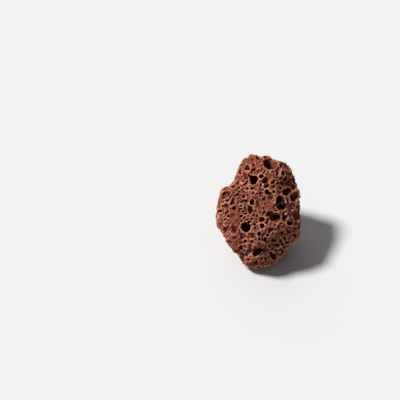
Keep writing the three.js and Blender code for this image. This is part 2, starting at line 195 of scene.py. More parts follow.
# Smaller ones, which the solid leaves out.
SMALL_FACE_BUBBLES = (
    (6.4, -18.9, 1.1, 0.9, 0, 0.4),
    (1.5, -25.7, 1.0, 1.0, 0, 0.4),
    (14.3, -14.8, 1.1, 0.9, 0, 0.4),
    (14.7, 24.3, 0.5, 0.8, 0, 0.5),
    (2.4, 11.9, 0.55, 0.55, 0, 0.6),
    (11.4, 11.5, 0.55, 0.55, 0, 0.6),
    (0.9, 7.5, 0.65, 0.65, 0, 0.5),
    (1.8, 0.4, 0.65, 0.9, 0, 0.5),
    (3.9, 0.2, 0.65, 0.9, 0, 0.5),
    (-0.3, -1.6, 0.85, 1.1, 0, 0.4),
    (-0.2, -5.3, 0.75, 0.75, 0, 0.6),
    (10.0, -9.7, 0.7, 0.7, 0, 0.4),
    (12.6, -6.4, 0.7, 0.7, 0, 0.6),
    (9.4, -7.1, 0.9, 0.6, 0, 0.5),
    (-19.9, 3.1, 1.0, 0.5, 35, 0.5),
    (-11.1, 5.4, 1.0, 0.5, 65, 0.5),
    (-9.8, 4.0, 0.55, 0.7, 0, 0.5),
    (-6.1, 4.0, 0.5, 0.9, 0, 0.5),
    (-7.4, 6.2, 0.6, 0.6, 0, 0.6),
    (-11.3, 0.6, 0.65, 0.65, 0, 0.5),
    (-9.5, 0.6, 0.5, 0.7, 0, 0.5),
    (-7.9, -3.0, 1.1, 0.6, 70, 0.4),
    (-18.1, -6.9, 1.0, 0.6, 60, 0.4),
    (-2.4, -14.0, 0.5, 0.5, 0, 0.5),
    (-1.6, -15.5, 0.7, 0.7, 0, 0.5),
    (-10.4, -10.7, 0.4, 0.7, 0, 0.5),
    (-3.7, -7.4, 0.4, 0.8, 0, 0.5),
    (-17.7, 5.8, 0.8, 0.7, 0, 0.4),
    (-2.6, 25.8, 0.6, 0.6, 0, 0.5),
    (-6.9, 26.1, 0.6, 0.6, 0, 0.5),
    (-0.4, 29.6, 0.9, 0.9, 0, 0.6),
    (-9.3, 12.5, 0.7, 0.7, 0, 0.6),
    (-6.1, 11.3, 0.6, 0.8, 0, 0.5),
    (-3.3, 10.7, 0.8, 1.2, 0, 0.2),
    (-8.8, 11.3, 0.6, 0.6, 0, 0.5),
    (-14.0, 10.2, 0.5, 0.9, 60, 0.5),
    (-0.8, 10.0, 0.4, 0.8, 0, 0.4),
    (-5.2, 28.4, 0.8, 0.8, 0, 0.3),
    (-13.3, 17.0, 0.5, 0.5, 0, 0.5),
    (-7.8, -21.4, 0.8, 1.1, 0, 0.4),
    (-13.3, -18.0, 0.5, 0.7, 0, 0.5),
    (-5.8, -26.5, 0.7, 0.7, 0, 0.4),
    (-3.5, -27.0, 0.7, 0.7, 0, 0.4),
    (-1.3, -27.9, 0.9, 0.9, 0, 0.4),
    (4.0, -26.2, 1.1, 0.7, 30, 0.4),
    (4.5, -23.6, 1.0, 0.8, 40, 0.4),
    (8.1, -20.6, 1.1, 0.7, 20, 0.4),
    (13.7, -17.8, 0.9, 0.9, 0, 0.4),
    (12.0, -16.1, 0.9, 0.8, 0, 0.4),
    (-0.9, -22.4, 3.8, 1.5, 28, 0.5),
    (11.3, 6.8, 1.9, 2.5, 15, 0.5),
    (14.1, 2.6, 1.6, 1.9, 0, 0.1),
    (9.2, 10.9, 0.95, 1.0, 0, 0.5),
    (5.8, -13.0, 0.95, 0.8, 0, 0.4),
    (-7.9, 2.0, 1.15, 0.6, 78, 0.5),
    (-16.5, -2.1, 0.7, 0.7, 0, 0.6),
    (-9.6, -2.3, 0.7, 0.7, 0, 0.6),
    (-3.8, -3.4, 1.0, 0.9, 0, 0.5),
    (-15.9, -4.5, 1.2, 0.45, 48, 0.5),
    (-3.4, -17.2, 0.9, 0.9, 0, 0.6),
    (-5.8, 15.8, 0.55, 1.0, 0, 0.5),
    (-9.8, 16.2, 1.2, 0.45, 55, 0.5),
    (7.0, -22.9, 1.0, 1.0, 0, 0.5),
    (16.5, -11.4, 0.9, 0.95, 0, 0.4),
    (15.5, -12.8, 0.7, 0.7, 0, 0.4),
    (18.2, -11.9, 0.5, 0.7, 0, 0.4),
    (16.8, -14.9, 0.8, 0.8, 0, 0.4),
    (16.9, -18.5, 0.7, 0.7, 0, 0.4),
    (15.0, -19.4, 0.8, 0.6, 20, 0.4),
    (14.0, -22.0, 1.2, 1.0, 20, 0.4),
    (20.5, -9.3, 1.2, 0.7, 0, 0.3),
    (17.2, -9.0, 1.3, 0.7, 15, 0.3),
    (15.0, -10.5, 0.8, 0.7, 0, 0.4),
    (19.1, -15.9, 1.2, 1.2, 0, 0.3),
    (20.0, -13.4, 1.3, 1.3, 0, 0.3),
    (22.3, -9.3, 0.9, 0.9, 0, 0.3),
    (16.0, -17.0, 0.8, 0.7, 0, 0.4),
    (12.9, -23.6, 1.2, 0.9, 20, 0.4),
    (5.9, -25.7, 0.7, 0.7, 0, 0.4),
    (6.1, -27.6, 0.8, 0.6, 0, 0.4),
    (8.9, -12.8, 0.7, 0.6, 20, 0.4),
    (6.7, -16.6, 0.8, 0.4, 50, 0.5),
    (6.6, -10.9, 0.6, 0.5, 0, 0.5),
    (3.7, 4.4, 0.6, 0.55, 0, 0.5),
    (4.9, 3.2, 0.5, 0.35, -30, 0.5),
    (13.7, 1.0, 0.55, 0.55, 0, 0.5),
    (12.0, 3.7, 0.9, 0.9, 0, 0.5),
    (-1.4, 12.6, 0.9, 0.75, 0, -0.2),
    (-18.8, 10.3, 1.1, 0.9, 45, 0.35),
    (-22.4, 3.6, 1.2, 1.6, 0, -0.2),
    (-21.6, 0.4, 0.8, 0.7, 0, 0.4),
    (-7.9, 11.9, 0.5, 0.45, 0, 0.5),
    (-15.5, 1.3, 0.5, 0.45, 0, 0.5),
    (-5.3, 8.7, 0.9, 0.8, 0, -0.2),
    (-21.6, -3.4, 0.6, 1.1, 0, 0.0),
    (-17.9, -0.3, 1.7, 0.8, 50, 0.25),
    (-13.4, 2.3, 1.8, 0.9, 52, 0.2),
    (-13.6, -1.9, 1.9, 1.0, 48, 0.2),
    (-11.6, -5.2, 1.7, 0.8, 48, 0.25),
    (-18.6, -4.2, 1.2, 0.7, 50, 0.25),
    (-12.2, 8.9, 1.5, 0.8, 45, 0.3),
    (-6.2, -1.2, 1.3, 0.7, 50, 0.3),
    (-1.9, 1.2, 1.2, 0.7, 60, 0.35),
    (2.9, 7.2, 1.6, 0.9, 60, 0.2),
    (8.7, 3.9, 1.6, 0.9, 60, 0.2),
    (6.0, 3.4, 1.3, 0.7, 55, 0.25),
    (-8.6, 8.4, 1.3, 0.8, 45, 0.3),
    (-12.9, 12.3, 1.4, 0.8, 45, 0.3),
    (-11.0, 14.2, 1.3, 0.6, 50, 0.35),
    (1.4, 14.9, 1.4, 0.8, 50, 0.25),
    (8.9, 13.7, 1.4, 0.9, 50, 0.25),
    (10.9, 15.6, 1.2, 0.8, 40, 0.35),
    (-15.6, -7.2, 1.5, 0.8, 45, 0.25),
    (-2.2, -10.4, 1.2, 0.8, 40, 0.35),
    (3.9, -8.9, 1.2, 0.7, 50, 0.35),
    (-13.2, -14.4, 1.4, 0.8, 45, 0.35),
    (-8.2, 28.6, 0.8, 0.7, 30, 0.3),
    (-3.4, 28.9, 0.9, 0.7, 20, 0.3),
    (-6.9, 30.6, 0.7, 0.6, 0, 0.3),
    (-9.6, 26.2, 0.9, 0.6, 40, 0.2),
)
DEPTH_SHARE = 1.1  # a bubble's depth, as a share of the lesser of its width and height
OPEN_DISH = 0.12  # a bubble sunk no more than this is a dish, which its neighbours break into
SHARED_WALL = 0.8  # how far finer bubbles keep out of such a dish, as a share of their radius
WHOLE_WALL = 0.35  # and how thick they leave the wall of a deeper bubble
LEAST_FACING = 0.4  # a mouth is slid into the surface as if it faced the front at least this much
SIGHT_AHEAD = 3.0  # lines of sight into the face start this far in front of its bulge,
SIGHT_END = -8.0  # end this far behind the middle,
SIGHT_STEP = 0.1  # and are looked at in steps of this

# ---------------------------------------------------------------- scattered bubbles

# The large bubbles on the other sides, as the solid scatters them: (smallest, largest radius, tries).
SCATTER = (
    (2.9, 3.8, 60),
    (2.1, 2.7, 150),
    (1.7, 2.0, 60),
)
SCATTER_SEED = 4127
WALL = 0.96  # least distance of two middles, as a share of the sum of their radii
LEAST_SINK = -0.3
MOST_SINK = 0.55
STRETCH = 0.45  # a bubble is drawn out by up to this share
BARE_FACE_OUT = 2.0  # none opens on the broad face, which is further out than this
BARE_FACE_RIM = 0.96  # and within this share of the way to the rim,
PAD = (0.0, -5.0, 0.0)  # and none breaks into the flat that the stone rests on
PAD_RADIUS = 4.0

# Finer bubbles, strewn over the surface that the large ones leave, coarse ones first: (on the broad
# face, smallest and largest half width of the mouth, tries, least sink, most sink, wall between,
# deepest start under the skin, rim rounding)
STREWN = (
    (False, 1.2, 2.6, 5000, -0.25, 0.25, 0.1, 0.3, 0.2),
    (True, 0.9, 2.0, 9000, -0.3, 0.1, -0.2, 0.5, 0.2),
    (False, 0.7, 1.2, 9000, -0.15, 0.35, 0.15, 0.4, 0.18),
    (True, 0.5, 1.0, 9000, -0.2, 0.35, 0.0, 0.6, 0.16),
    (True, 0.35, 0.65, 5000, 0.1, 0.5, 0.3, 0.9, 0.14),
    (False, 0.4, 0.75, 8000, 0.0, 0.5, 0.3, 0.5, 0.16),
    (False, 0.35, 0.9, 500, 0.2, 0.6, 0.8, 9.0, 0.16),
)
STREWN_SEED = 71
LEAST_HEIGHT = 1.0  # no mouth lies lower above the floor than this
LEAST_LEVEL = 0.85  # a mouth lies as level as this with the skin, so that rims stay whole,
DEEP_START = 1.0  # but not in a row that may start deeper than this, inside the large bubbles
MOST_STRETCH = 1.55  # the finer ones are drawn out by up to this, and the least is 1
BROAD_FACE = (-0.22, 0.14, 0.96)  # the broad face's outward direction, in face axes,
BROAD_FACING = 0.7  # and how nearly the skin there faces that way

# ---------------------------------------------------------------- the field and its finish

GRID_MARGIN = 1.2  # how far the grid reaches beyond the solid
CARVE_MARGIN = 1.5  # and how far beyond a bubble it is carved
BEND_NOISE = ((4.5, 0.8, 5), (1.6, 0.6, 15))  # (cell, height, seed) of what bends the shapes
GRIT_NOISE = ((0.75, 1.0, 31), (2.1, 1.2, 32))  # and of the grit
LEAST_STEEP = 0.02  # the gauge is read as rising by at least this share in a millimetre
HALVINGS = 40  # steps in which a point of the skin is found
WEAR_REACH = 0.35  # rock is worn off where, this far around,
WEAR_SHARE = 0.11  # less than this share is rock
WEAR_RISE = 3.0  # how fast that share rises into the rock, over the reach
ROCK_SHARES = (("near_rock", 0.5), ("mid_rock", 1.0), ("wide_rock", 1.8))  # attribute and reach

# ---------------------------------------------------------------- the stage

FLOOR_MIDDLE = 0.02  # radius of the floor's middle face, in metres
FLOOR_FLAT = 1.8  # the floor is flat out to here,
FLOOR_REACH = 4.6  # and sweeps up from there to its edge,
FLOOR_SWEEP = 0.5  # which is this high
FLOOR_RINGS = 25  # rings of points in the sweep
FLOOR_TURNS = 96  # points in a ring
AIM_LEFT = 32.5  # the picture's middle lies this far left of the stone's middle
AIM_UP = 6.7  # and this far above it, in millimetres
# Lamps: (name, direction that the light comes from, width in degrees, share of the key light).
LAMPS = (
    ("key", (-0.57, 0.16, 0.8), 12, 1.0),
    ("back", (-0.25, 0.75, 0.6), 50, 0.1),
)


# ---------------------------------------------------------------- sizes and colours a user may change


class LavaStoneShape(bpy.types.PropertyGroup):
    """Sizes of the stone's fine surface."""

    grid_step: bpy.props.FloatProperty(
        name="Grid step",
        description="Distance between the points that the solid field is worked out at",
        default=0.23 * MM,
        min=0.2 * MM,
        subtype="DISTANCE",
        unit="LENGTH",
        precision=5,
    )
    rim_round: bpy.props.FloatProperty(
        name="Rim rounding",
        description="How far a bubble's broken rim is rounded",
        default=0.16 * MM,
        min=0.0,
        subtype="DISTANCE",
        unit="LENGTH",
        precision=5,
    )
    bend: bpy.props.FloatProperty(
        name="Bend",
        description="How far the bubbles and the skin are bent out of their even shapes",
        default=0.4 * MM,
        min=0.0,
        subtype="DISTANCE",
        unit="LENGTH",
        precision=5,
    )
    grit: bpy.props.FloatProperty(
        name="Grit",
        description="Height of the grit on the rock",
        default=0.05 * MM,
        min=0.0,
        subtype="DISTANCE",
        unit="LENGTH",
        precision=5,
    )
    most_triangles: bpy.props.IntProperty(
        name="Most triangles",
        description="The mesh is thinned to this many triangles",
        default=196000,
        min=10000,
    )


class LavaStoneFinish(bpy.types.PropertyGroup):
    """Colours of the rock, with painted highlight on its rims and painted shade in its dents, deep
    places and holes.
    """

    rock: bpy.props.FloatVectorProperty(
        name="Rock",
        description="Orange brown of the dry rock",
        default=(0.185, 0.0395, 0.022),
        size=3,
        subtype="COLOR",
    )
    # The darker red brown is both the rock's darker clouds and painted shade in its dents and deep
    # places.
    dark_rock_and_shade: bpy.props.FloatVectorProperty(
        name="Darker rock",
        description="Red brown of the darker clouds in the rock",
        default=(0.09, 0.021, 0.0135),
        size=3,
        subtype="COLOR",
    )
    # Pale rim colour: partly the wear of the rims and partly painted highlight on the sharp ridges;
    # the pale grains use it too.
    rim: bpy.props.FloatVectorProperty(
        name="Rims",
        description="Pale pink of the worn rims",
        default=(0.6, 0.215, 0.13),
        size=3,
        subtype="COLOR",
    )
    # Paler patches on the sharpest rims: partly a dusted tone and partly painted highlight.
    dust_and_highlight: bpy.props.FloatVectorProperty(
        name="Dust",
        description="Paler dust on patches of the rims",
        default=(0.75, 0.38, 0.27),
        size=3,
        subtype="COLOR",
    )
    # Painted shade: nearly black brown painted deep in the holes; the fine dark specks take it too.
    hole_shade_and_specks: bpy.props.FloatVectorProperty(
        name="Hollows",
        description="Nearly black brown deep in the holes",
        default=(0.009, 0.004, 0.003),
        size=3,
        subtype="COLOR",
    )


class LavaStoneStage(bpy.types.PropertyGroup):
    """Floor, lights and camera."""

    camera_distance: bpy.props.FloatProperty(
        name="Camera distance",
        description="From the camera to the middle of the stone",
        default=1.59,
        min=0.1,
        subtype="DISTANCE",
        unit="LENGTH",
    )
    lens: bpy.props.FloatProperty(
        name="Lens",
        description="Focal length in millimetres on a 36 mm wide sensor",
        default=255.0,
        min=10.0,
    )
    key_power: bpy.props.FloatProperty(
        name="Key light",
        description="Strength of the soft light above and to the left",
        default=4.2,
        min=0.0,
    )
    sky: bpy.props.FloatProperty(
        name="Room light",
        description="Strength of the even white light of the room",
        default=0.125,
        min=0.0,
    )
    floor: bpy.props.FloatVectorProperty(
        name="Floor",
        description="Pale floor",
        default=(0.685, 0.685, 0.685),
        size=3,
        subtype="COLOR",
    )


# ---------------------------------------------------------------- the skin


def soften(terms, power):
    """The p-norm of the positive terms: (sum of term^power)^(1/power)."""
    total = 0.0
    for term in terms:
        total = total + np.maximum(term, 0) ** power
    return total ** (1 / power)


def gauge(x, y, z):
    """0 at the middle of the stone and 1 on its skin, for points in face axes.

    The rim is the p-norm of the distances towards its flats, each over the flat's own distance. The
    body is the p-norm of that and of the height over the bulge. The gauge is the p-norm of the body
    and the broken flats, over 1 plus the swells (Gaussians of the direction) and the waves (sines).
    """
    rim = soften(
        [
            (x * math.cos(math.radians(angle)) + y * math.sin(math.radians(angle))) / far
            for angle, far in RIM_FLATS
        ],
        EDGE_SHARPNESS,
    )
    bulge = np.abs(z) / np.where(z > 0, FRONT_BULGE, BACK_BULGE)
    body = soften([rim, bulge], ROUNDNESS)
    flats = [(a * x + b * y + c * z) / far for (a, b, c), far in BROKEN_FLATS]
    bare = soften([body] + flats, EDGE_SHARPNESS)
    length = np.maximum(np.sqrt(x * x + y * y + z * z), 1e-3)
    x, y, z = x / length, y / length, z / length
    share = 1.0
    for (a, b, c), height, width in SWELLS:
        apart = (x - a) ** 2 + (y - b) ** 2 + (z - c) ** 2
        share = share + height * np.exp(-apart / (2 * width**2))
    for (a, b, c), start, height in WAVES:
        share = share + height * np.sin(a * x + b * y + c * z + start)
    return bare / share


def face_axes():
    """The rows are the face's across, up and out directions in the part's frame."""
    lift = math.radians(FACE_ELEVATION)
    up = [0, math.sin(lift), math.cos(lift)]
    out = [0, -math.cos(lift), math.sin(lift)]
    return np.array([[1, 0, 0], up, out])


def to_face(points):
    """Points of the part's frame in face axes."""
    return (np.asarray(points) - MIDDLE) @ face_axes().T


def from_face(points):
    """Points in face axes in the part's frame."""
    return np.asarray(points) @ face_axes() + MIDDLE


def outward(points):
    """Unit outward directions of the skin at points in face axes, from the gauge's small changes."""
    step = 0.05
    slopes = [gauge(*(points + step * e).T) - gauge(*(points - step * e).T) for e in np.eye(3)]
    slopes = np.stack(slopes, -1)
    return slopes / np.linalg.norm(slopes, axis=-1, keepdims=True)


def on_face(across, up):
    """Points of the skin straight out of (across, up) on the broad face, found by halving."""
    low = np.zeros(len(across))
    high = np.full(len(across), 2 * FRONT_BULGE)
    for _ in range(HALVINGS):
        half = (low + high) / 2
        outside = gauge(across, up, half) > 1
        high = np.where(outside, half, high)
        low = np.where(outside, low, half)
    points = np.stack([across, up, low], -1)
    return points / gauge(*points.T)[:, None]


# ---------------------------------------------------------------- where the bubbles are


def along(direction):
    """The rows are three square axes, the first along a direction."""
    first = np.array(direction) / np.linalg.norm(direction)
    second = np.cross([0, 0, 1], first)
    second /= np.linalg.norm(second)
    return np.stack([first, second, np.cross(first, second)])


# The middle of its mouth, its own middle, its half axes as a matrix's rows, its radius, and its sink.
Bubble = namedtuple("Bubble", "mouth centre half_axes radius sink")


def bubble_from_face(bubble):
    """A bubble in face axes, in the part's frame."""
    mouth, centre = from_face(bubble.mouth), from_face(bubble.centre)
    return bubble._replace(mouth=mouth, centre=centre, half_axes=bubble.half_axes @ face_axes())


def face_bubbles(rows, mouths, outs):
    """Bubbles in face axes, from their rows, their mouths' middles and the surface's directions.

    The first two half axes start in the plane of the face and are slid along its out direction until
    they lie in the rock's own surface, and the third is its outward direction. So a mouth has its
    row's width and height where it is seen straight from the front. A bubble's widest part lies
    deeper than its mouth by the sink, and is wider than the mouth by 1 / sqrt(1 - sink^2).
    """
    found = []
    for (_, _, half_width, half_height, lean, sink), mouth, out in zip(rows, mouths, outs):
        swell = 1 / math.sqrt(1 - sink**2)
        turn = math.radians(lean)
        wide = np.array([math.cos(turn), math.sin(turn), 0])
        high = np.array([-math.sin(turn), math.cos(turn), 0])
        facing = max(out[2], LEAST_FACING)
        wide[2] = -wide @ out / facing
        high[2] = -high @ out / facing
        deep = DEPTH_SHARE * min(half_width, half_height) * out
        half_axes = swell * np.array([half_width * wide, half_height * high, deep])
        radius = swell * (half_width + half_height) / 2
        found.append(Bubble(mouth, mouth - sink * half_axes[2], half_axes, radius, sink))
    return found


def steps_of_chance(seed):
    """Repeatable numbers from 0 to 1: the last whole number times 48271, modulo 2^31 - 1."""
    while True:
        seed = (seed * 48271) % 2147483647
        yield seed / 2147483647


def scattered_bubbles(found):
    """Adds the large bubbles of the other sides to those of the face, big ones first.

    Each is drawn by chance, with its mouth on the skin, and is left out where it would open on the
    broad face, break into the flat that the stone rests on, or come too near another.
    """
    chance = steps_of_chance(SCATTER_SEED)
    axes = along(FLOW)
    pad = to_face(PAD)
    for smallest, largest, tries in SCATTER:
        for _ in range(tries):
            out = -1 + 2 * next(chance)
            angle = 2 * math.pi * next(chance)
            radius = smallest + (largest - smallest) * next(chance)
            sink = LEAST_SINK + (MOST_SINK - LEAST_SINK) * next(chance)
            stretch = 1 + STRETCH * next(chance)
            ring = math.sqrt(1 - out * out)
            mouth = np.array([ring * math.cos(angle), ring * math.sin(angle), out])
            mouth = mouth / gauge(*mouth)
            centre = mouth - sink * radius * outward(mouth[None])[0]
            if mouth[2] > BARE_FACE_OUT and gauge(mouth[0], mouth[1], 0.0) < BARE_FACE_RIM:
                continue
            if np.linalg.norm(centre - pad) < radius * stretch + PAD_RADIUS:
                continue
            if any(np.linalg.norm(centre - c) < WALL * (radius + r) for _, c, _, r, _ in found):
                continue
            found.append(Bubble(mouth, centre, stretched(axes, radius, stretch), radius, sink))
    return found


def stretched(axes, radius, stretch):
    """Half axes of a bubble drawn out along the first of three axes, with the same volume."""
    thin = radius / math.sqrt(stretch)
    return axes * np.array([[radius * stretch], [thin], [thin]])


# ---------------------------------------------------------------- the solid field


class Field:
    """A solid on a grid of points: its value is how far inside the rock a point is."""

    def __init__(self, low, high, step):
        self.step = step
        self.low = np.array(low, float)
        self.counts = np.ceil((np.array(high) - self.low) / step).astype(int) + 1
        self.lines = [
            (self.low[i] + step * np.arange(self.counts[i])).astype(np.float32) for i in range(3)
        ]
        self.places = [
            np.broadcast_to(line.reshape([-1 if i == j else 1 for j in range(3)]), self.counts)
            for i, line in enumerate(self.lines)
        ]
        self.value = None

    def noise(self, cell, seed):
        """Smooth noise about 1 high: random numbers on a coarse grid, joined by cubic B-splines."""
        rng = np.random.default_rng(seed)
        weights = []
        for line in self.lines:
            place = (line - line[0]) / cell
            knots = np.arange(int(place[-1]) + 4) - 1
            apart = np.abs(place[:, None] - knots[None])
            inner = 2 / 3 - apart**2 + apart**3 / 2
            outer = np.where(apart < 2, (2 - apart) ** 3 / 6, 0)
            weights.append(np.where(apart < 1, inner, outer).astype(np.float32))
        coarse = rng.standard_normal([w.shape[1] for w in weights]).astype(np.float32)
        coarse = np.tensordot(weights[0], coarse, (1, 0))
        coarse = np.tensordot(coarse, weights[1], (1, 1))
        coarse = np.tensordot(coarse, weights[2], (1, 1))
        return coarse / coarse.std()

    def layered_noise(self, layers, turn=0):
        """The sum of noises of several sizes, each a (cell, height, seed)."""
        total = 0.0
        for cell, height, seed in layers:
            total = total + height * self.noise(cell, seed + turn)
        return total

    def bend(self, amount):
        """Shifts the places that shapes are read at, by smooth noise."""
        self.places = [
            place + amount * self.layered_noise(BEND_NOISE, i) for i, place in enumerate(self.places)
        ]

    def sample(self, values, points):
        """Values between the grid's points, mixed from the eight around each place."""
        place = (points - self.low) / self.step
        cell = np.clip(place.astype(int), 0, self.counts - 2)
        part = place - cell
        total = 0.0
        for corner in product((0, 1), repeat=3):
            weight = np.prod(np.where(corner, part, 1 - part), axis=1)
            total = total + weight * values[tuple((cell + corner).T)]
        return total

    def slope(self, points):
        """Unit outward directions of the rock's surface at points near it."""
        slopes = [
            self.sample(self.value, points - step) - self.sample(self.value, points + step)
            for step in self.step * np.eye(3)
        ]
        slopes = np.stack(slopes, -1)
        return slopes / np.maximum(np.linalg.norm(slopes, axis=-1, keepdims=True), 1e-6)

    def carve(self, bubble, rounding):
        """Takes one ellipsoid away, with its rim rounded by a quadratic smooth minimum.

        A place's share is its distance from the middle in a frame where the ellipsoid is a unit
        ball. How far it is outside is its true distance from the middle, less that over the share.
        """
        reach = np.sqrt((bubble.half_axes**2).sum(axis=0)).max() + CARVE_MARGIN
        middle = bubble.centre - self.low
        first = np.clip(((middle - reach) / self.step).astype(int), 0, self.counts)
        last = np.clip(((middle + reach) / self.step).astype(int) + 1, 0, self.counts)
        window = tuple(slice(a, b) for a, b in zip(first, last))
        away = [place[window] - c for place, c in zip(self.places, bubble.centre)]
        share = 0.0
        for row in np.linalg.inv(bubble.half_axes).T.astype(np.float32):
            share = share + (row[0] * away[0] + row[1] * away[1] + row[2] * away[2]) ** 2
        share = np.sqrt(np.maximum(share, 1e-4))
        far = np.sqrt(away[0] ** 2 + away[1] ** 2 + away[2] ** 2)
        self.value[window] = smooth_least(self.value[window], far - far / share, rounding)

    def rock_share(self, reach):
        """The share of rock within about a reach of each grid point."""
        return box_mean((self.value > 0).astype(np.float32), max(1, round(reach / self.step)))

    def wear(self):
        """Wears off fins and points: the rock ends where too small a share around it is rock."""
        spare = self.rock_share(WEAR_REACH) - WEAR_SHARE
        self.value = np.minimum(self.value, spare * WEAR_RISE * WEAR_REACH)


def smooth_least(a, b, rounding):
    """The lesser of two fields, less up to a quarter of the rounding where they are equal."""
    near = np.maximum(rounding - np.abs(a - b), 0) / rounding
    return np.minimum(a, b) - near * near * rounding / 4


def surface_points(field, value):
    """One point in each grid cell that the zero surface crosses: the mean of its crossings."""
    rock = value > 0
    cells_shape = np.array(rock.shape) - 1
    filled = np.zeros(cells_shape, np.uint8)
    for i, j, k in product((0, 1), repeat=3):
        filled += rock[i : i + cells_shape[0], j : j + cells_shape[1], k : k + cells_shape[2]]
    crossed = (filled > 0) & (filled < 8)
    cells = np.argwhere(crossed)
    total = np.zeros((len(cells), 3))
    count = np.zeros(len(cells))
    for axis in range(3):
        along_edge = np.eye(3, dtype=int)[axis]
        for sides in product((0, 1), repeat=2):
            offset = np.insert(np.array(sides), axis, 0)
            start = value[tuple((cells + offset).T)]
            end = value[tuple((cells + offset + along_edge).T)]
            cut = (start > 0) != (end > 0)
            share = np.where(cut, start / np.where(cut, start - end, 1), 0)
            total += cut[:, None] * (offset + share[:, None] * along_edge)
            count += cut
    points = field.low + field.step * (cells + total / count[:, None])
    return points, crossed


def surface_quads(value, crossed):
    """A quad round each grid edge that the surface crosses, joining its four cells' points."""
    rock = value > 0
    number = np.full(crossed.shape, -1, np.int64)
    number[crossed] = np.arange(crossed.sum())
    quads = []
    for axis in range(3):
        one, two = [i for i in range(3) if i != axis]
        inner = [slice(1, -1)] * 3
        inner[axis] = slice(None, -1)
        beyond = list(inner)
        beyond[axis] = slice(1, None)
        start, end = rock[tuple(inner)], rock[tuple(beyond)]
        edges = np.argwhere(start != end)
        leaves_rock = start[tuple(edges.T)]
        lift = np.ones(3, int)
        lift[axis] = 0
        edges = edges + lift
        ring = []
        for back_one, back_two in ((1, 1), (0, 1), (0, 0), (1, 0)):
            cell = edges.copy()
            cell[:, one] -= back_one
            cell[:, two] -= back_two
            ring.append(number[tuple(cell.T)])
        ring = np.stack(ring, -1)
        turned = leaves_rock if axis != 1 else ~leaves_rock
        quads.append(np.where(turned[:, None], ring, ring[:, ::-1]))
    return np.concatenate(quads)


def largest_piece(count, quads):
    """Quads of the largest joined piece: each point takes the least number that it is joined to."""
    label = np.arange(count)
    while True:
        least = label[quads].min(axis=1)
        lower = label.copy()
        np.minimum.at(lower, quads.ravel(), np.repeat(least, 4))
        lower = lower[lower]
        if (lower == label).all():
            break
        label = lower
    main = np.bincount(label[quads[:, 0]]).argmax()
    return quads[label[quads[:, 0]] == main]


def box_mean(values, reach):
    """The mean along each axis in turn, taken twice, which is nearly that of a soft ball."""
    for axis in (0, 1, 2, 0, 1, 2):
        pad = [(reach + 1, reach) if i == axis else (0, 0) for i in range(3)]
        total = np.cumsum(np.pad(values, pad, mode="edge"), axis=axis, dtype=np.float32)
        width = 2 * reach + 1
        ahead = np.take(total, range(width, total.shape[axis]), axis=axis)
        behind = np.take(total, range(0, total.shape[axis] - width), axis=axis)
        values = (ahead - behind) / width
    return values


# ---------------------------------------------------------------- the stone


def carved(field, bubbles, rounding):
    """Carves bubbles that are given in face axes, and gives them back in the part's frame."""
    placed = [bubble_from_face(bubble) for bubble in bubbles]
    for bubble in placed:
        field.carve(bubble, rounding)
    return placed


def strewn_bubbles(field, skin, row, placed, rng):
    """Finer bubbles on the present surface, in the part's frame.

    Each mouth is as wide as its neighbours leave room for, up to a width drawn by chance, so that
    they pack together like foam with thin walls between.
    """
    front, smallest, largest, tries, least_sink, most_sink, wall, deepest = row
    points, _ = surface_points(field, field.value)
    points = points[(points[:, 2] > LEAST_HEIGHT) & (field.sample(skin, points) < deepest)]
    points = points[rng.permutation(len(points))[:tries]]
    out = outward(to_face(points))
    level = np.sum(out @ face_axes() * field.slope(points), axis=1) > LEAST_LEVEL
    broad = out @ BROAD_FACE > BROAD_FACING
    points = points[(broad == front) & (level | (deepest > DEEP_START))]
    wide = rng.uniform(smallest, largest, len(points))
    for bubble in placed:
        away = points - bubble.mouth
        far = np.linalg.norm(away, axis=1)
        mouth_axes = bubble.half_axes * math.sqrt(1 - bubble.sink**2)
        share = np.linalg.norm(away @ np.linalg.inv(mouth_axes), axis=1)
        room = far - far / share
        room = room - WHOLE_WALL if bubble.sink > OPEN_DISH else room / SHARED_WALL
        wide = np.minimum(wide, room)
    free = wide > smallest
    points, wide = points[free], wide[free]
    kept = []
    for i, point in enumerate(points):
        room = np.linalg.norm(points[kept] - point, axis=1) - wide[kept] - wall
        wide[i] = min(wide[i], room.min(initial=largest))
        if wide[i] > smallest:
            kept.append(i)
    points, wide = points[kept], wide[kept]
    sinks = rng.uniform(least_sink, most_sink, len(points))
    radii = wide / np.sqrt(1 - sinks**2)
    centres = points - (sinks * radii)[:, None] * field.slope(points)
    stretches = rng.uniform(1, MOST_STRETCH, len(points))
    axes = along(FLOW) @ face_axes()
    return [
        Bubble(point, centre, stretched(axes, radius, stretch), radius, sink)
        for point, centre, radius, stretch, sink in zip(points, centres, radii, stretches, sinks)
    ]


def seen_from_face(field, across, up):
    """The first rock met straight in from (across, up) in front of the broad face."""
    heights = np.arange(FRONT_BULGE + SIGHT_AHEAD, SIGHT_END, -SIGHT_STEP)
    lines = np.stack(np.broadcast_arrays(across[:, None], up[:, None], heights), -1)
    lines = from_face(lines.reshape(-1, 3)).reshape(lines.shape)
    inside = field.sample(field.value, lines.reshape(-1, 3)).reshape(lines.shape[:2]) > 0
    return lines[np.arange(len(lines)), inside.argmax(axis=1)]


def bare_field(shape):
    """The unbroken stone as a field, and how far each grid point is under its skin.

    That distance is 1 less the gauge, over how steeply the gauge rises, and the grit is added to it.
    """
    low, high = np.array(SOLID_BOX) / MM
    field = Field(low - GRID_MARGIN, high + GRID_MARGIN, shape.grid_step / MM)
    field.bend(shape.bend / MM)
    away = [place - middle for place, middle in zip(field.places, MIDDLE)]
    axes = face_axes().astype(np.float32)
    value = gauge(*[a[0] * away[0] + a[1] * away[1] + a[2] * away[2] for a in axes])
    slopes = np.gradient(value, field.step)
    steep = np.sqrt(slopes[0] ** 2 + slopes[1] ** 2 + slopes[2] ** 2)
    skin = (1 - value) / np.maximum(steep, LEAST_STEEP)
    grit = shape.grit / MM * field.layered_noise(GRIT_NOISE)
    field.value = (skin + grit).astype(np.float32)
    return field, skin


